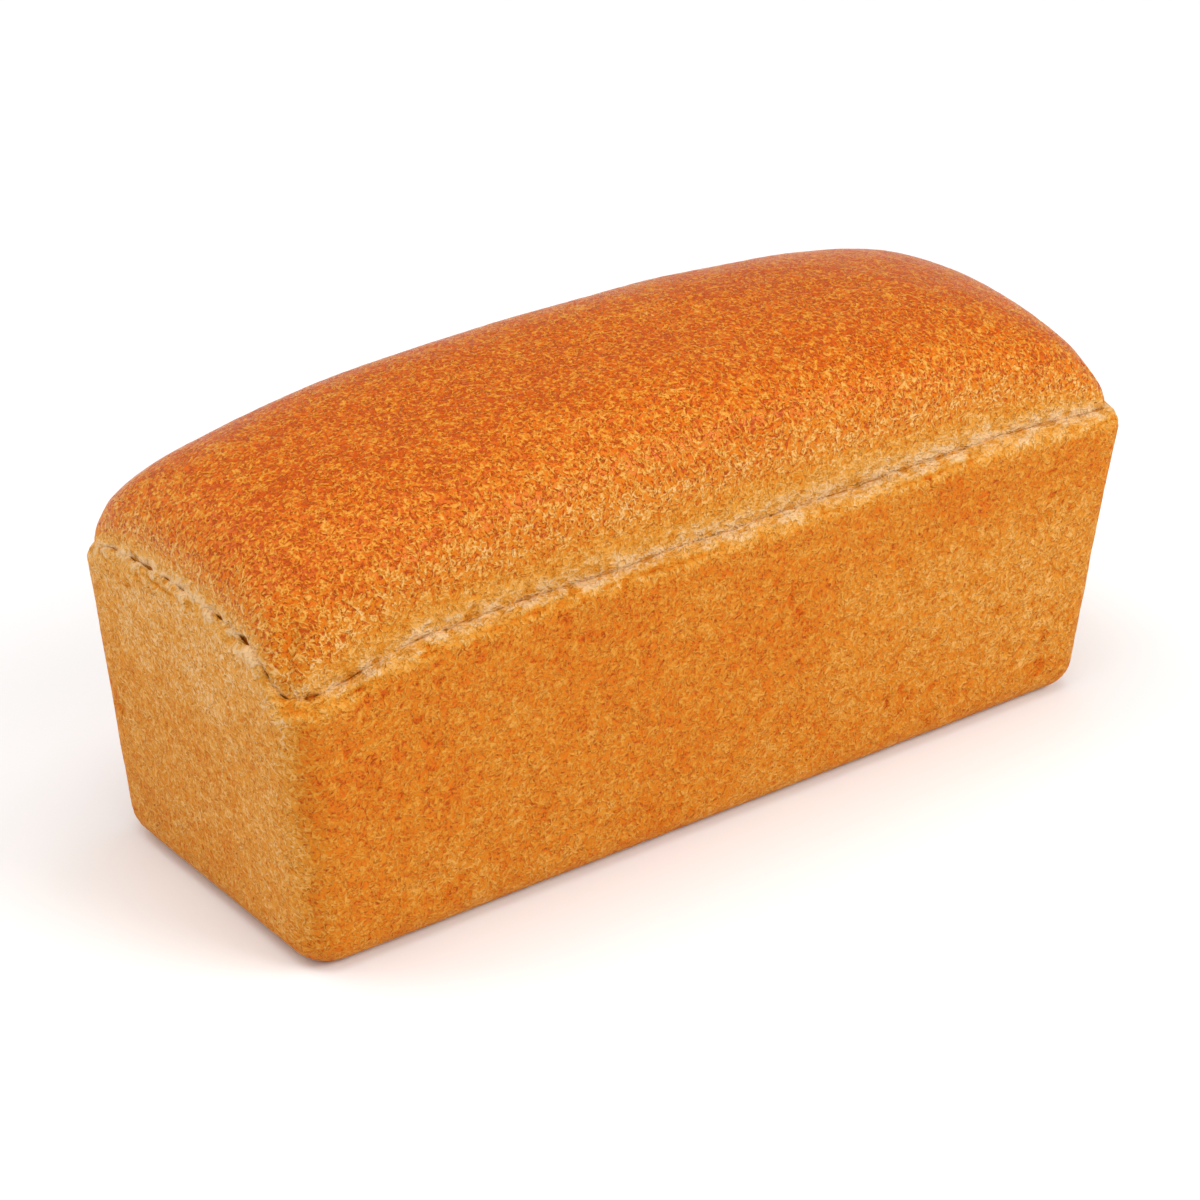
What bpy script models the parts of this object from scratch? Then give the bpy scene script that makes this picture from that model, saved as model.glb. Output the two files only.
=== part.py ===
"""Tin loaf: one long loaf of bread, baked in an open tin, with a crown that rose above the rim.

Metres, +Z up. The origin is the middle of the base, and +X runs along the loaf.

The loaf was baked as one piece, so it is one solid. A cube is cut into a grid, its vertices are
placed on the outline of the loaf, and a Subdivision Surface rounds that cage into the soft form:
flat base, leaning walls, the lip that set along the tin's rim, the seam above it and the crown.
"""

import bmesh
import bpy

NAME = "tin_loaf"

# The space inside the tin, which the walls of the loaf took.
RIM_LENGTH = 0.300
RIM_WIDTH = 0.1135
RIM_HEIGHT = 0.0966
BASE_LENGTH = 0.2825
BASE_WIDTH = 0.1048

# The crown is highest over the middle. One end of it is fuller, and the other slopes away sooner.
# Its foot swells up the long sides, so that it stands steeper there than at the ends.
CROWN_RISE = 0.0430
FULL_END = 4.8
SLOPING_END = 1.85
END_SHOULDER = 0.238
SIDE_ROUNDING = 2.3
SIDE_SHOULDER = 0.143
SIDE_SWELL = 0.0120

# The seam between lip and crown arches over each end face and dips round the corners.
END_ARCH = 0.0050
SIDE_ARCH = 0.0004
CORNER_DIP = 0.0050
SIDE_DIP_POWER = 8
END_DIP_POWER = 6

# Profile of the wall, from the base up: height, and how far in from the tin's wall. It starts a
# little off the ground, so that the loaf stands on the flat middle of its base.
PROFILE = (
    (0.001, 0.0000),
    (0.016, 0.0000),
    (0.048, 0.0000),
    (0.079, 0.0000),
    (0.0912, -0.0020),
    (0.0970, 0.0066),
    (0.1085, 0.0044),
)
LIP = 4
CROWN_FOOT = len(PROFILE) - 1

# Cells along each edge of the cage, and the run from a corner to the next line of vertices. That
# run sets the radius of the upright edges and of the base's edge, about 0.6 of the run.
CELLS = len(PROFILE) - 1
CORNER_RUN = 0.0170
SMOOTHING = 2

CRUST_COLOUR = (0.73, 0.25, 0.035, 1.0)
CRUST_ROUGHNESS = 0.45


def clear_scene():
    for thing in list(bpy.data.objects):
        bpy.data.objects.remove(thing, do_unlink=True)


def tin_half_size(height):
    """Half the length and half the width of the tin's inside at a height."""
    share = height / RIM_HEIGHT
    half_length = (BASE_LENGTH + (RIM_LENGTH - BASE_LENGTH) * share) / 2
    half_width = (BASE_WIDTH + (RIM_WIDTH - BASE_WIDTH) * share) / 2
    return half_length, half_width


def line_position(index, half):
    """Where one of the cage's lines runs across a side: at the edges, near them, or evenly between."""
    middle = CELLS // 2
    steps = index - middle
    if abs(steps) == middle:
        reach = half
    else:
        reach = (half - CORNER_RUN) * abs(steps) / (middle - 1)
    return reach if steps > 0 else -reach


def seam_offset(across_x, across_y):
    """How far the seam stands above the rim's height, at a place from -1 to 1 each way."""
    x, y = abs(across_x), abs(across_y)
    arch = SIDE_ARCH * (1 - x**2) + END_ARCH * (1 - y**2) * x**4
    return arch - CORNER_DIP * x**SIDE_DIP_POWER * y**END_DIP_POWER


def crown_height(across_x, across_y):
    """Height of the crown above the seam, as a share of its rise."""
    power = FULL_END if across_x < 0 else SLOPING_END
    along = (1 - abs(across_x) ** power) ** END_SHOULDER
    across = (1 - abs(across_y) ** SIDE_ROUNDING) ** SIDE_SHOULDER
    return along * across


def wall_point(i, j, k):
    height, inset = PROFILE[k]
    half_length, half_width = tin_half_size(height)
    x = line_position(i, half_length - inset)
    y = line_position(j, half_width - inset)
    across_x, across_y = x / half_length, y / half_width
    if k >= LIP:
        height += seam_offset(across_x, across_y)
    if k == CROWN_FOOT:
        height += SIDE_SWELL * (1 - across_x**2)
    return x, y, height


def crown_point(i, j):
    foot, inset = PROFILE[CROWN_FOOT]
    half_length, half_width = tin_half_size(foot)
    x = line_position(i, half_length - inset)
    y = line_position(j, half_width - inset)
    across_x = x / (half_length - inset)
    across_y = y / (half_width - inset)
    height = RIM_HEIGHT + CROWN_RISE * crown_height(across_x, across_y)
    return x, y, height


def base_point(i, j):
    half_length, half_width = tin_half_size(0)
    return line_position(i, half_length), line_position(j, half_width), 0.0


def place(vertex):
    """Moves a vertex of the gridded cube, which spans 0 to CELLS each way, onto the loaf."""
    i, j, k = (round(value) for value in vertex.co)
    on_wall = i in (0, CELLS) or j in (0, CELLS)
    if on_wall:
        vertex.co = wall_point(i, j, k)
    elif k == 0:
        vertex.co = base_point(i, j)
    else:
        vertex.co = crown_point(i, j)


def sharpen_base(shape):
    """Creases the ring round the flat of the base, so that the loaf stands on a true plane."""
    middle = CELLS // 2
    edge_crease = shape.edges.layers.float.new("crease_edge")
    corner_crease = shape.verts.layers.float.new("crease_vert")
    ring = set()
    for vertex in shape.verts:
        i, j, k = (round(value) for value in vertex.co)
        steps = sorted((abs(i - middle), abs(j - middle)))
        if k == 0 and steps[1] == middle - 1:
            ring.add(vertex)
            vertex[corner_crease] = float(steps[0] == middle - 1)
    for edge in shape.edges:
        edge[edge_crease] = float(ring.issuperset(edge.verts))


def make_cage():
    shape = bmesh.new()
    bmesh.ops.create_cube(shape, size=CELLS)
    bmesh.ops.translate(shape, verts=shape.verts, vec=(CELLS / 2,) * 3)
    bmesh.ops.subdivide_edges(shape, edges=shape.edges[:], cuts=CELLS - 1, use_grid_fill=True)
    sharpen_base(shape)
    for vertex in shape.verts:
        place(vertex)
    bmesh.ops.recalc_face_normals(shape, faces=shape.faces)
    mesh = bpy.data.meshes.new(NAME)
    shape.to_mesh(mesh)
    shape.free()
    mesh.shade_smooth()
    return mesh


def make_crust():
    crust = bpy.data.materials.new("crust")
    crust.use_nodes = True
    shader = crust.node_tree.nodes["Principled BSDF"]
    shader.inputs["Base Color"].default_value = CRUST_COLOUR
    shader.inputs["Roughness"].default_value = CRUST_ROUGHNESS
    shader.inputs["Metallic"].default_value = 0.0
    crust.diffuse_color = CRUST_COLOUR
    return crust


def add_smoothing(loaf):
    smoothing = loaf.modifiers.new("Rounding", "SUBSURF")
    smoothing.levels = SMOOTHING
    smoothing.render_levels = SMOOTHING


def build():
    clear_scene()
    collection = bpy.data.collections.new(NAME)
    bpy.context.scene.collection.children.link(collection)
    loaf = bpy.data.objects.new(NAME, make_cage())
    loaf.data.materials.append(make_crust())
    collection.objects.link(loaf)
    add_smoothing(loaf)


build()
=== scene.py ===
"""The looks of the tin loaf: one closed crust mesh, its baked surface, and a plain bright studio.

The loaf's box comes from the frame. Its form is worked out on a grid wrapped round a box: base,
walls, lip, slit and crown. Then the crust is roughened, torn and pitted along its normals.
"""

import math

import bpy
import numpy as np
from mathutils import Matrix, Vector, noise


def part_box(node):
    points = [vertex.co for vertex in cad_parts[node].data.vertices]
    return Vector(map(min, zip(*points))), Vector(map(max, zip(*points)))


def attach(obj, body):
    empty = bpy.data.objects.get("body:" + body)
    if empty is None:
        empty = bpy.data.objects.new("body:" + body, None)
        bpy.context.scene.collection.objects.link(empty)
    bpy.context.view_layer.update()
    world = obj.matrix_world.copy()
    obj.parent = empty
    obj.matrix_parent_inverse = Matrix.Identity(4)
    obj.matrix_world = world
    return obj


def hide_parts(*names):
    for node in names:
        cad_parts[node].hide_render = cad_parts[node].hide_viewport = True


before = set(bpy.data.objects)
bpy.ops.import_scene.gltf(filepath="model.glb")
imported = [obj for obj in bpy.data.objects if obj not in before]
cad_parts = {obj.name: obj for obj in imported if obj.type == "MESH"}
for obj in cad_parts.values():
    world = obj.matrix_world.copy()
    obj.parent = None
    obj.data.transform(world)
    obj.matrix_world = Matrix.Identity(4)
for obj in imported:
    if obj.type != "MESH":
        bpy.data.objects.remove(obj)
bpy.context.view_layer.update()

LOW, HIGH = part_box("tin_loaf")
MM = 0.001

# Sizes of the loaf, from the frame's box.
HALF_LENGTH = (HIGH.x - LOW.x) / 2
HALF_WIDTH = (HIGH.y - LOW.y) / 2
HEIGHT = HIGH.z - LOW.z
RIM_HEIGHT = 0.699 * HEIGHT
CROWN_RISE = 0.297 * HEIGHT
BASE_HALF_LENGTH = 0.942 * HALF_LENGTH
BASE_HALF_WIDTH = 0.917 * HALF_WIDTH
BASE_ROUND = 9 * MM
LIP_ROUND = 5.4 * MM

# Radii of the upright edges, at the -X end and at the +X end's base and rim. An inset takes its
# own amount off them, and on the -Y side the lip's inset gives a share of that back.
CORNER_ROUND = 12 * MM
FAR_BASE_ROUND, FAR_RIM_ROUND = 9 * MM, 4.5 * MM
LEAST_ROUND = 1.5 * MM
LIP_CORNER_SHARE = 0.8

# The crown's outline: powers of a rounded box, fuller at the -X end.
FULL_END_POWER, FULL_END_SHOULDER = 2.65, 0.368
SLOPING_END_POWER, SLOPING_END_SHOULDER = 2.1, 0.407
SIDE_POWER, SIDE_SHOULDER = 2.64, 0.245

# How the seam's height changes: it arches over the end faces and dips at each corner (x, y signs).
# A dip grows between two shares of the way out to its corner, and the change in height spreads
# into the top of the wall, between two shares of the rim's height.
END_ARCH = 6.0 * MM
CORNER_DIPS = {(-1, -1): 7.5 * MM, (1, -1): 2.2 * MM, (-1, 1): 2.0 * MM, (1, 1): 3.5 * MM}
DIP_START, DIP_END = 0.68, 0.98
SEAM_REACH_START, SEAM_REACH_END = 0.72, 0.95

# The slit between lip and crown. The lip is narrower on the end faces, by a share of its width.
SLIT_DEPTH = 1.5 * MM
SLIT_INSET = 0.9 * MM
END_LIP_SHARE = 0.5

# A second, shallow crack wanders along the lip, below the slit.
CRACK_BELOW = 5.0 * MM
CRACK_HALF_WIDTH = 0.7 * MM

# The corner at -X and -Y, where the crust wrinkled and tore the most.
TORN_CORNER = -0.97 * HALF_LENGTH, -0.92 * HALF_WIDTH

# Cells of the grid along X, Y and up each stretch of the side, and in each large block of the base.
CELLS_X = 256
CELLS_Y = 92
FILLET_ROWS = 10
WALL_ROWS = 56
LIP_ROWS = 13
FOOT_ROWS = 22
FOOT_INSET = 6 * MM
FOOT_SAMPLES = 4000
BASE_BLOCK = 8, 4


def smooth(low, high, value):
    """0 below low, 1 above high, and a smooth step between them."""
    share = np.clip((value - low) / (high - low), 0, 1)
    return share * share * (3 - 2 * share)


def grain(points, size, seed):
    """Smooth noise from about -1 to 1 with lumps of a size, in metres or one size for each axis."""
    places = points / np.asarray(size) + 31.7 * seed
    return np.array([noise.noise(place) for place in places.tolist()])


def layer(points, amount, size, seed):
    """Grain from about -amount to amount."""
    return amount * grain(points, size, seed)


# ---- the form of the loaf ----------------------------------------------------------------------


def tin_half_size(height):
    """Half the length and half the width of the tin's inside at a height."""
    share = height / RIM_HEIGHT
    half_length = BASE_HALF_LENGTH + (HALF_LENGTH - BASE_HALF_LENGTH) * share
    half_width = BASE_HALF_WIDTH + (HALF_WIDTH - BASE_HALF_WIDTH) * share
    return half_length, half_width


def crown_height(x, y):
    """Height of the crown above its seam at places from -1 to 1 each way."""
    power = np.where(x < 0, FULL_END_POWER, SLOPING_END_POWER)
    shoulder = np.where(x < 0, FULL_END_SHOULDER, SLOPING_END_SHOULDER)
    along = np.clip(1 - np.abs(x) ** power, 0, 1) ** shoulder
    across = np.clip(1 - np.abs(y) ** SIDE_POWER, 0, 1) ** SIDE_SHOULDER
    return CROWN_RISE * along * across


def seam_offset(x, y):
    """How far the seam stands above the rim's height, at places from -1 to 1 each way."""
    offset = END_ARCH * (1 - y**2) * x**4
    for (side_x, side_y), dip in CORNER_DIPS.items():
        towards = np.clip(x * side_x, 0, 1) * np.clip(y * side_y, 0, 1)
        offset = offset - dip * smooth(DIP_START, DIP_END, towards)
    return offset


def side_rows():
    """Each row's height, and its inset from the tin's wall, from the base up to the seam."""
    turn = np.linspace(0, math.pi / 2, FILLET_ROWS)
    heights = list(BASE_ROUND * (1 - np.cos(turn)))
    insets = list(BASE_ROUND * (1 - np.sin(turn)))
    lip_foot = RIM_HEIGHT - LIP_ROUND
    heights += list(np.linspace(BASE_ROUND, lip_foot, WALL_ROWS + 1)[1:])
    insets += [0.0] * WALL_ROWS
    turn = np.linspace(0, math.pi / 2, LIP_ROWS + 1)[1:]
    heights += list(lip_foot + LIP_ROUND * np.sin(turn))
    insets += list(LIP_ROUND * (1 - np.cos(turn)))
    return np.array(heights), np.array(insets)


def foot_insets():
    """How far in from the seam each row of the crown's foot lies, evenly spaced over its surface.

    The second value is the foot's length over its surface.
    """
    inset = np.linspace(0, 1, FOOT_SAMPLES) ** 3 * FOOT_INSET
    seam_half_width = HALF_WIDTH - LIP_ROUND
    height = crown_height(np.zeros_like(inset), 1 - inset / seam_half_width)
    steps = np.hypot(np.diff(inset), np.diff(height))
    length = np.concatenate([[0], np.cumsum(steps)])
    return np.interp(np.linspace(0, length[-1], FOOT_ROWS + 1), length, inset), length[-1]


def round_corner(x, y, half_x, half_y, radius):
    """Moves places on a rectangle onto one whose corners have a radius."""
    over_x = np.clip((np.abs(x) - (half_x - radius)) / radius, 0, 1)
    over_y = np.clip((np.abs(y) - (half_y - radius)) / radius, 0, 1)
    pull_x = radius * over_x * (1 - np.sqrt(1 - over_y**2 / 2))
    pull_y = radius * over_y * (1 - np.sqrt(1 - over_x**2 / 2))
    return x - np.sign(x) * pull_x, y - np.sign(y) * pull_y


class Grid:
    """The lattice wrapped round the loaf: which vertices exist, and the faces between them."""

    def __init__(self, cells_x, cells_y, cells_z):
        self.cells = cells_x, cells_y, cells_z
        i, j, k = np.indices((cells_x + 1, cells_y + 1, cells_z + 1), sparse=True)
        side = (i == 0) | (i == cells_x) | (j == 0) | (j == cells_y)
        block = (i % BASE_BLOCK[0] == 0) & (j % BASE_BLOCK[1] == 0)
        kept = side | (k == cells_z) | ((k == 0) & block)
        self.number = np.full(kept.shape, -1)
        self.number[kept] = np.arange(kept.sum())
        self.i, self.j, self.k = np.nonzero(kept)

    def sheet(self, numbers, flipped):
        """Faces of one side of the lattice, from the numbers of its vertices."""
        near, far = numbers[:, :-1], numbers[:, 1:]
        quads = np.stack([near[:-1], near[1:], far[1:], far[:-1]], -1).reshape(-1, 4)
        return (quads[:, ::-1] if flipped else quads).tolist()

    def faces(self):
        n = self.number
        faces = self.sheet(n[:, :, -1], False)
        faces += self.sheet(n[0], True) + self.sheet(n[-1], False)
        faces += self.sheet(n[:, 0], False) + self.sheet(n[:, -1], True)
        return faces + self.base_faces()

    def base_faces(self):
        """Large blocks under the loaf. Those at the edge take in every vertex along it."""
        step_i, step_j = BASE_BLOCK
        faces = []
        for i in range(0, self.cells[0], step_i):
            for j in range(0, self.cells[1], step_j):
                ring = [(i, b) for b in range(j, j + step_j)]
                ring += [(a, j + step_j) for a in range(i, i + step_i)]
                ring += [(i + step_i, b) for b in range(j + step_j, j, -1)]
                ring += [(a, j) for a in range(i + step_i, i, -1)]
                numbers = [int(self.number[a, b, 0]) for a, b in ring]
                faces.append([number for number in numbers if number >= 0])
        return faces


def form_loaf(grid):
    """The smooth loaf: each vertex's place, its way above the seam, and if it is in the slit."""
    wall_height, wall_inset = side_rows()
    insets, foot_length = foot_insets()
    slit_row = len(wall_height)
    foot_row = slit_row + 1

    u = 2 * grid.i / grid.cells[0] - 1
    v = 2 * grid.j / grid.cells[1] - 1
    foot_height = np.full(len(insets), RIM_HEIGHT)
    row_height = np.concatenate([wall_height, [RIM_HEIGHT - SLIT_DEPTH], foot_height])
    row_inset = np.concatenate([wall_inset, [LIP_ROUND + SLIT_INSET], LIP_ROUND + insets])
    height, inset = row_height[grid.k], row_inset[grid.k]
    lip_part = np.where(height > RIM_HEIGHT / 2, np.minimum(inset, LIP_ROUND), 0)
    half_x, half_y = tin_half_size(height)
    half_x = half_x - inset + (1 - END_LIP_SHARE) * lip_part
    half_y = half_y - inset
    x, y = half_x * u, half_y * v

    seam_x, seam_y = HALF_LENGTH - END_LIP_SHARE * LIP_ROUND, HALF_WIDTH - LIP_ROUND
    across_x, across_y = np.clip(x / seam_x, -1, 1), np.clip(y / seam_y, -1, 1)
    on_crown = grid.k >= foot_row
    near_rim = smooth(SEAM_REACH_START, SEAM_REACH_END, height / RIM_HEIGHT)
    z = height + seam_offset(across_x, across_y) * near_rim
    z = z + np.where(on_crown, crown_height(across_x, across_y), 0)

    height_share = np.clip(height / RIM_HEIGHT, 0, 1)
    far_round = FAR_BASE_ROUND + (FAR_RIM_ROUND - FAR_BASE_ROUND) * height_share
    radius = CORNER_ROUND + (far_round - CORNER_ROUND) * smooth(-0.5, 0.5, u)
    radius = radius - inset + LIP_CORNER_SHARE * lip_part * (v < 0)
    radius = np.maximum(radius, LEAST_ROUND)
    x, y = round_corner(x, y, half_x, half_y, radius)

    row_steps = np.hypot(np.diff(wall_height), np.diff(wall_inset))
    below = np.concatenate([np.cumsum(row_steps[::-1])[::-1], [0]])
    foot_steps = np.linspace(0, foot_length, len(insets))
    row_above = np.concatenate([-below, [0], foot_steps])
    inward = np.minimum(half_x - np.abs(half_x * u), half_y - np.abs(half_y * v))
    above = row_above[grid.k] + np.where(grid.k == grid.cells[2], inward, 0)
    return np.stack([x, y, z], 1), above, grid.k == slit_row


# ---- the crust ---------------------------------------------------------------------------------

# Layers of lumps in the surface: depth, size and seed of each.
BROAD_LUMPS = 0.35 * MM, 42 * MM, 1
CROWN_LUMPS = 0.70 * MM, 34 * MM, 2
SMALL_LUMPS = 0.12 * MM, 9 * MM, 3
FINE_LUMPS = 0.08 * MM, 3 * MM, 4
TORN_LUMPS = 0.5 * MM, 6.5 * MM, 7
WRINKLES = 0.8 * MM, (9 * MM, 4 * MM, 4 * MM), 9
LONG_WANDER = 0.8 * MM, 22 * MM, 21

# The seam's short wander, along the sides and round the ends.
SIDE_WANDER, END_WANDER = 0.3 * MM, 1.1 * MM
WANDER_SIZE, WANDER_SEED = 7 * MM, 22

# Depths of single features, and how far the torn corner's effects spread from it.
PIT_DEPTH = 0.6 * MM
CRACK_DEPTH = 0.6 * MM
CRUMB_DEPTH = 1.0 * MM
TORN_SPREAD, WRINKLE_SPREAD, DARK_SPREAD = 60 * MM, 24 * MM, 11 * MM

# How strongly the seam is torn: everywhere, and more on the end faces and at the torn corner. The
# foot of the crown, above the long sides, is calmer by a share.
TORN, TORN_MORE_AT_ENDS, TORN_MORE_AT_CORNER = 0.6, 0.4, 1.1
CALM_FOOT = 0.75

# Below this height the roughness fades, which leaves the base flat.
ROUGH_FROM = 6 * MM

# Baking tones at distances up the crown from the seam, and down the wall from it, in mm.
CROWN_TONE_AT = (0, 3, 8, 17, 28, 40, 60)
CROWN_TONES = (0.12, 0.22, 0.42, 0.54, 0.70, 0.82, 0.86)
WALL_TONE_AT = (0, 2, 5, 9, 40, 100)
WALL_TONES = (0.10, 0.14, 0.28, 0.60, 0.62, 0.54)
END_TONES = (0.08, 0.10, 0.17, 0.27, 0.40, 0.47)

# Layers of shades in the tone: amount, size and seed of each.
BROAD_SHADES = 0.07, 26 * MM, 11
SMALL_SHADES = 0.06, 9 * MM, 12
LIP_SHADES = 0.16, 2.5 * MM, 13
SLIT_SHADES = 0.35, 7 * MM, 14

# What single features add to the tone; the darker tone of the slit, the crack and the pits is
# painted shade in those hollows. Each paleness is taken off it instead.
SLIT_PAINTED_SHADE = 0.70
CRACK_PAINTED_SHADE = 0.32
PIT_PAINTED_SHADE = 0.30
TORN_CORNER_TONE = 0.40
CRUMB_PALENESS = 0.34
LOW_WALL_PALENESS = 0.13
SLOPING_FOOT_PALENESS = 0.10
FULL_FOOT_PALENESS = 0.26


def build_loaf():
    rows = FILLET_ROWS + WALL_ROWS + LIP_ROWS + 1 + FOOT_ROWS
    grid = Grid(CELLS_X, CELLS_Y, rows)
    points, above, in_slit = form_loaf(grid)
    mesh = bpy.data.meshes.new("loaf_crust")
    mesh.from_pydata(points.tolist(), [], grid.faces())
    mesh.shade_smooth()
    loaf = bpy.data.objects.new("loaf_crust", mesh)
    bpy.context.scene.collection.objects.link(loaf)
    normals = normals_of(mesh)
    roughen(mesh, points, normals, above)
    write_attributes(mesh, points, normals, above, in_slit)
    return loaf


def normals_of(mesh):
    """The mesh's vertex normals, one row each."""
    normals = np.empty(len(mesh.vertices) * 3, np.float32)
    mesh.vertices.foreach_get("normal", normals)
    return normals.reshape(-1, 3).astype(float)


def seam_band(above):
    """1 at the seam, fading out to both sides of it."""
    return smooth(-9 * MM, -2 * MM, above) * (1 - smooth(2.5 * MM, 9 * MM, above))


def corner_share(points, spread):
    """1 at the torn corner, fading out with distance from it."""
    away = np.hypot(points[:, 0] - TORN_CORNER[0], points[:, 1] - TORN_CORNER[1])
    return np.exp(-((away / spread) ** 2))


def pits(points):
    """Small hollows that gas bubbles left in the walls, from 0 to 1 deep."""
    many = smooth(-0.1, 0.45, grain(points, 26 * MM, 5))
    return smooth(0.22, 0.60, grain(points, 2.8 * MM, 6)) * (0.12 + 0.88 * many)


def crumbs(points):
    """The flaky lumps of the torn lip, from about -1 to 1."""
    return grain(points, (4.5 * MM, 4.5 * MM, 2.6 * MM), 8)


def crack(points, above):
    """How deep the broken crack along the lip is, from 0 to 1."""
    along = points * (1, 1, 0)
    centre = -CRACK_BELOW + 1.3 * MM * grain(along, 13 * MM, 31)
    line = np.exp(-(((above - centre) / CRACK_HALF_WIDTH) ** 2))
    return line * smooth(-0.2, 0.25, grain(along, 17 * MM, 32))


def low_wall(points):
    """1 low on the +X half of the long walls, where they baked paler, fading out round it."""
    along, up = points[:, 0] / HALF_LENGTH, points[:, 2] / RIM_HEIGHT
    return smooth(0.1, 0.5, along) * smooth(0.05, 0.5, up) * (1 - smooth(0.6, 0.85, up))


def roughen(mesh, points, normals, above):
    """Pushes the surface in and out along its normals, and makes the torn seam wander."""
    free = smooth(0, ROUGH_FROM, points[:, 2])
    crown = smooth(-1 * MM, 6 * MM, above)
    wall = 1 - smooth(-8 * MM, -4 * MM, above)
    end = smooth(0.5, 0.9, np.abs(normals[:, 0]))
    band = seam_band(above)
    torn = TORN + TORN_MORE_AT_ENDS * end
    torn += TORN_MORE_AT_CORNER * corner_share(points, TORN_SPREAD)
    torn *= band * (1 - CALM_FOOT * crown * (1 - end))
    lift = layer(points, *BROAD_LUMPS) + crown * layer(points, *CROWN_LUMPS)
    lift += layer(points, *SMALL_LUMPS) + layer(points, *FINE_LUMPS)
    lift += torn * (layer(points, *TORN_LUMPS) + CRUMB_DEPTH * crumbs(points))
    lift += crown * corner_share(points, WRINKLE_SPREAD) * layer(points, *WRINKLES)
    lift -= wall * PIT_DEPTH * pits(points)
    lift -= CRACK_DEPTH * crack(points, above)
    moved = points + normals * (free * lift)[:, None]
    along = points * (1, 1, 0)
    short_wander = SIDE_WANDER + (END_WANDER - SIDE_WANDER) * end
    wander = layer(along, *LONG_WANDER) + layer(along, short_wander, WANDER_SIZE, WANDER_SEED)
    moved[:, 2] += band * wander
    mesh.vertices.foreach_set("co", moved.astype(np.float32).ravel())
    mesh.update()


def wall_tones(points, normals, up):
    """Baking tones of the walls, at heights above the seam in mm."""
    side_tone = np.interp(-up, WALL_TONE_AT, WALL_TONES) - LOW_WALL_PALENESS * low_wall(points)
    end_tone = np.interp(-up, WALL_TONE_AT, END_TONES)
    end = smooth(0.6, 0.9, np.abs(normals[:, 0]))
    return side_tone + (end_tone - side_tone) * end


def crown_tones(points, up):
    """Baking tones of the crown. Its foot is paler towards the sloping end and at the full one."""
    along = points[:, 0] / HALF_LENGTH
    tone = np.interp(up, CROWN_TONE_AT, CROWN_TONES)
    tone -= SLOPING_FOOT_PALENESS * smooth(0.0, 0.9, along) * (1 - smooth(3, 14, up))
    tone -= FULL_FOOT_PALENESS * smooth(0.85, 0.95, -along) * (1 - smooth(4, 18, up))
    return tone


def write_attributes(mesh, points, normals, above, in_slit):
    """What the material reads: baking tone with painted shade in the slit, crack and pits, gloss,
    crown or wall, bare seam and grain places.
    """
    up = above / MM
    crown = smooth(-0.6, 0.6, up)
    band = seam_band(above)
    wall_tone = wall_tones(points, normals, up)
    tone = wall_tone + (crown_tones(points, up) - wall_tone) * crown
    tone += layer(points, *BROAD_SHADES) + layer(points, *SMALL_SHADES)
    tone -= band * (CRUMB_PALENESS * crumbs(points) + layer(points, *LIP_SHADES))
    # A darker tone along the sunken crack: painted shade in the groove.
    tone += CRACK_PAINTED_SHADE * crack(points, above)
    # A darker tone in the pits of the walls: painted shade in the hollows.
    tone += (1 - crown) * PIT_PAINTED_SHADE * pits(points)
    tone += band * TORN_CORNER_TONE * corner_share(points, DARK_SPREAD)
    # The slit's row gets a dark tone of its own: painted shade in the slit.
    tone = np.where(in_slit, SLIT_PAINTED_SHADE + layer(points, *SLIT_SHADES), tone)
    write_attribute(mesh, "tone", tone)
    write_attribute(mesh, "gloss", smooth(5, 22, up))
    write_attribute(mesh, "crown", crown)
    write_attribute(mesh, "bare", band)
    attribute = mesh.attributes.new("grain", "FLOAT_VECTOR", "POINT")
    attribute.data.foreach_set("vector", (points / MM).astype(np.float32).ravel())


def write_attribute(mesh, name, values):
    attribute = mesh.attributes.new(name, "FLOAT", "POINT")
    attribute.data.foreach_set("value", values.astype(np.float32))


# ---- the crust's material ----------------------------------------------------------------------

# Crust colours from unbaked to dark, at their tones.
CRUST_TONES = (
    (0.00, (0.80, 0.50, 0.24)),
    (0.20, (0.76, 0.37, 0.085)),
    (0.40, (0.70, 0.275, 0.026)),
    (0.60, (0.65, 0.195, 0.006)),
    (0.80, (0.66, 0.135, 0.001)),
    (1.00, (0.50, 0.070, 0.000)),
)

# Two layers of curls: the noise's scale, over places in mm, its number of contours, and an offset.
CURL_LAYERS = (
    (0.27, 4.5, (13.1, 4.2, 7.7)),
    (0.38, 4.0, (41.7, 22.2, 9.1)),
)
SPECKS_OFFSET = 5.5, 61.2, 17.9

# How strongly curls and specks change the tone: on wall and crown, over the bare seam as a share,
# and what the gloss adds. Then what a broad patch takes off or adds.
WALL_CONTRAST, CROWN_CONTRAST = 0.28, 0.26
BARE_CONTRAST = 0.5
GLOSS_CONTRAST = 0.26
PATCH_CONTRAST = 0.07

# The finish, and the bump's depth with each pattern's weight in it.
DULL_ROUGHNESS, GLOSS_ROUGHNESS = 0.70, 0.30
SPECULAR_LEVEL = 0.16
BUMP_DEPTH = 0.26 * MM
PATCH_BUMP, FLAKE_BUMP = 1.5, 4.0


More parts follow.
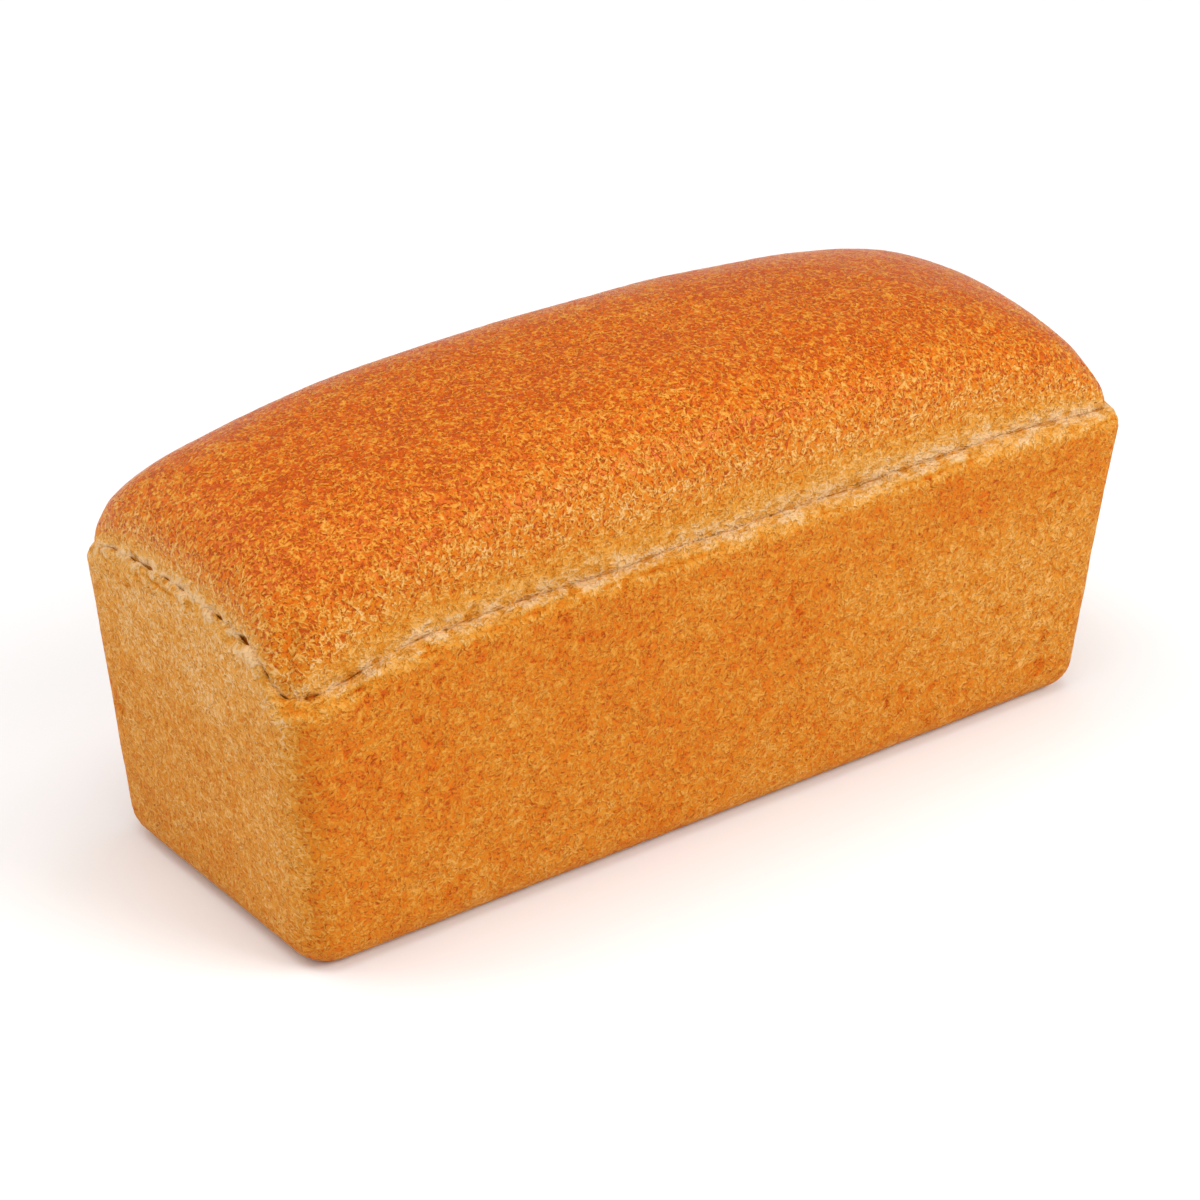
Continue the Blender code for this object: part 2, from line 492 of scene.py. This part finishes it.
class Nodes:
    """Adds shader nodes to a material. Each call returns the new node's output."""

    def __init__(self, material):
        material.use_nodes = True
        self.tree = material.node_tree
        self.shader = self.tree.nodes["Principled BSDF"]

    def connect(self, value, socket):
        if isinstance(value, bpy.types.NodeSocket):
            self.tree.links.new(value, socket)
        else:
            socket.default_value = value

    def add(self, kind, output, inputs, **settings):
        node = self.tree.nodes.new("ShaderNode" + kind)
        for name, setting in settings.items():
            setattr(node, name, setting)
        for name, value in inputs.items():
            self.connect(value, node.inputs[name])
        return node.outputs[output]

    def math(self, operation, first, second=0.0):
        return self.add("Math", 0, {0: first, 1: second}, operation=operation)

    def attribute(self, name, output="Fac"):
        return self.add("Attribute", output, {}, attribute_name=name)

    def noise(self, place, scale, detail=0.0, distortion=0.0):
        inputs = {"Vector": place, "Scale": scale, "Detail": detail, "Distortion": distortion}
        return self.add("TexNoise", "Fac", inputs)

    def shifted(self, place, offset):
        return self.add("VectorMath", 0, {0: place, 1: offset}, operation="ADD")

    def scaled(self, place, factors):
        return self.add("VectorMath", 0, {0: place, 1: factors}, operation="MULTIPLY")

    def step(self, value, low, high, start=0.0, end=1.0):
        """A smooth step from start to end as value goes from low to high."""
        inputs = {"Value": value, "From Min": low, "From Max": high, "To Min": start, "To Max": end}
        return self.add("MapRange", 0, inputs, interpolation_type="SMOOTHSTEP")

    def ramp(self, value, stops):
        node = self.tree.nodes.new("ShaderNodeValToRGB")
        while len(node.color_ramp.elements) < len(stops):
            node.color_ramp.elements.new(1.0)
        for element, (position, colour) in zip(node.color_ramp.elements, stops):
            element.position = position
            element.color = (*colour, 1)
        self.connect(value, node.inputs["Fac"])
        return node.outputs["Color"]


def curls(nodes, place, scale, turns, offset):
    """Short curly ridges, from -1 to 1: the contours of a noise, broken up by a second noise."""
    field = nodes.noise(nodes.shifted(place, offset), scale, 2.0, 0.5)
    wave = nodes.math("SINE", nodes.math("MULTIPLY", field, turns * math.tau))
    breaks = nodes.noise(nodes.shifted(place, (-offset[1], offset[2], offset[0])), 0.8, 1.0)
    return nodes.math("MULTIPLY", wave, nodes.step(breaks, 0.36, 0.58))


def crust_patterns(nodes, place):
    """The curls, dark specks and broad patches of the whole crust, and the flakes of the seam."""
    first, second = [curls(nodes, place, *curl_layer) for curl_layer in CURL_LAYERS]
    curl = nodes.math("SUBTRACT", nodes.math("MAXIMUM", first, second), 0.15)
    patch = nodes.noise(place, 0.22, 2.0)
    specks = nodes.noise(nodes.shifted(place, SPECKS_OFFSET), 1.0, 1.0, 0.6)
    dark = nodes.step(specks, 0.58, 0.68)
    flakes = nodes.noise(nodes.scaled(place, (0.45, 1.0, 1.0)), 0.8, 3.0, 0.8)
    flake_and_crevice_shade = nodes.math("MULTIPLY", nodes.math("SUBTRACT", flakes, 0.5), nodes.attribute("bare"))
    return curl, dark, patch, flake_and_crevice_shade


def crust_tone(nodes, curl, dark, patch, flake_and_crevice_shade):
    """The baking tone with the patterns in it, and painted shade in the crevices between the seam's
    flakes.
    """
    strength = nodes.step(nodes.attribute("crown"), 0.0, 1.0, WALL_CONTRAST, CROWN_CONTRAST)
    bare_share = nodes.step(nodes.attribute("bare"), 0.0, 1.0, 1.0, BARE_CONTRAST)
    strength = nodes.math("MULTIPLY", strength, bare_share)
    gloss_part = nodes.step(nodes.attribute("gloss"), 0.0, 1.0, 0.0, GLOSS_CONTRAST)
    strength = nodes.math("ADD", strength, gloss_part)
    relief = nodes.math("SUBTRACT", nodes.math("MULTIPLY", dark, 0.7), curl)
    tone = nodes.math("ADD", nodes.attribute("tone"), nodes.math("MULTIPLY", relief, strength))
    patches = nodes.step(patch, 0.3, 0.7, -PATCH_CONTRAST, PATCH_CONTRAST)
    # The seam's flakes are paler where raised, their own crumb colour, and darker in the crevices
    # between them, which is painted shade.
    return nodes.math("SUBTRACT", nodes.math("ADD", tone, patches), flake_and_crevice_shade)


def crust_material():
    material = bpy.data.materials.new("baked_crust")
    nodes = Nodes(material)
    place = nodes.attribute("grain", "Vector")
    curl, dark, patch, flake_and_crevice_shade = crust_patterns(nodes, place)
    tone = crust_tone(nodes, curl, dark, patch, flake_and_crevice_shade)
    nodes.connect(nodes.ramp(tone, CRUST_TONES), nodes.shader.inputs["Base Color"])
    gloss = nodes.attribute("gloss")
    roughness = nodes.step(gloss, 0.0, 1.0, DULL_ROUGHNESS, GLOSS_ROUGHNESS)
    nodes.connect(roughness, nodes.shader.inputs["Roughness"])
    nodes.shader.inputs["Specular IOR Level"].default_value = SPECULAR_LEVEL
    height = nodes.math("SUBTRACT", curl, dark)
    height = nodes.math("ADD", height, nodes.math("MULTIPLY", patch, PATCH_BUMP))
    height = nodes.math("ADD", height, nodes.math("MULTIPLY", flake_and_crevice_shade, FLAKE_BUMP))
    inputs = {"Strength": 1.0, "Distance": BUMP_DEPTH, "Height": height}
    nodes.connect(nodes.add("Bump", 0, inputs), nodes.shader.inputs["Normal"])
    return material


# ---- the studio --------------------------------------------------------------------------------

CAMERA_AZIMUTH = -36.55
CAMERA_ELEVATION = 28.61
CAMERA_ROLL = 0.285
CAMERA_DISTANCE = 1.3
CAMERA_TARGET = Vector((-6.34 * MM, -1.98 * MM, 55.5 * MM))
LENS = 132.02
SENSOR = 36.0

# Softboxes: name, azimuth, elevation, distance, width and length, and power in watts.
SOFTBOXES = (
    ("key", 32, 36, 1.6, (1.1, 0.5), 15.0),
    ("front", -20, 35, 1.8, (1.6, 1.2), 4.4),
    ("left", -100, 20, 1.8, (1.6, 0.8), 5.6),
    ("back", -140, 45, 1.8, (1.4, 1.2), 11.6),
    ("top", 0, 88, 1.8, (1.8, 1.4), 17.7),
)
WORLD_STRENGTH = 0.3
FLOOR_HALF = 6.0
FLOOR_ALBEDO = 0.9


def direction(azimuth, elevation):
    """The way from the loaf towards a place: azimuth 0 is -Y, and 90 is +X."""
    a, e = math.radians(azimuth), math.radians(elevation)
    return Vector((math.sin(a) * math.cos(e), -math.cos(a) * math.cos(e), math.sin(e)))


def add_camera():
    camera = bpy.data.objects.new("camera", bpy.data.cameras.new("camera"))
    camera.data.lens = LENS
    camera.data.sensor_width = SENSOR
    back = direction(CAMERA_AZIMUTH, CAMERA_ELEVATION)
    turn = back.to_track_quat("Z", "Y").to_matrix().to_4x4()
    roll = Matrix.Rotation(math.radians(CAMERA_ROLL), 4, "Z")
    camera.matrix_world = Matrix.Translation(CAMERA_TARGET + back * CAMERA_DISTANCE) @ turn @ roll
    bpy.context.scene.collection.objects.link(camera)
    bpy.context.scene.camera = camera


def add_softbox(name, azimuth, elevation, distance, size, power):
    light = bpy.data.lights.new(name, "AREA")
    light.shape = "RECTANGLE"
    light.size, light.size_y = size
    light.energy = power
    box = bpy.data.objects.new(name, light)
    towards = direction(azimuth, elevation)
    middle = Vector((0, 0, HEIGHT / 2))
    turn = towards.to_track_quat("Z", "Y").to_matrix().to_4x4()
    box.matrix_world = Matrix.Translation(middle + towards * distance) @ turn
    bpy.context.scene.collection.objects.link(box)


def add_floor():
    signs = (-1, -1), (1, -1), (1, 1), (-1, 1)
    corners = [(x * FLOOR_HALF, y * FLOOR_HALF, LOW.z) for x, y in signs]
    mesh = bpy.data.meshes.new("floor")
    mesh.from_pydata(corners, [], [(0, 1, 2, 3)])
    floor = bpy.data.objects.new("floor", mesh)
    material = bpy.data.materials.new("floor_white")
    material.use_nodes = True
    shader = material.node_tree.nodes["Principled BSDF"]
    shader.inputs["Base Color"].default_value = (FLOOR_ALBEDO, FLOOR_ALBEDO, FLOOR_ALBEDO, 1)
    shader.inputs["Roughness"].default_value = 0.9
    shader.inputs["Specular IOR Level"].default_value = 0.0
    mesh.materials.append(material)
    bpy.context.scene.collection.objects.link(floor)


def light_studio():
    world = bpy.data.worlds.new("studio")
    world.use_nodes = True
    background = world.node_tree.nodes["Background"]
    background.inputs["Color"].default_value = (1, 1, 1, 1)
    background.inputs["Strength"].default_value = WORLD_STRENGTH
    bpy.context.scene.world = world
    for softbox in SOFTBOXES:
        add_softbox(*softbox)
    bpy.context.scene.view_settings.view_transform = "Standard"


loaf = build_loaf()
loaf.data.materials.append(crust_material())
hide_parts("tin_loaf")
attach(loaf, "root")

add_floor()
light_studio()
add_camera()
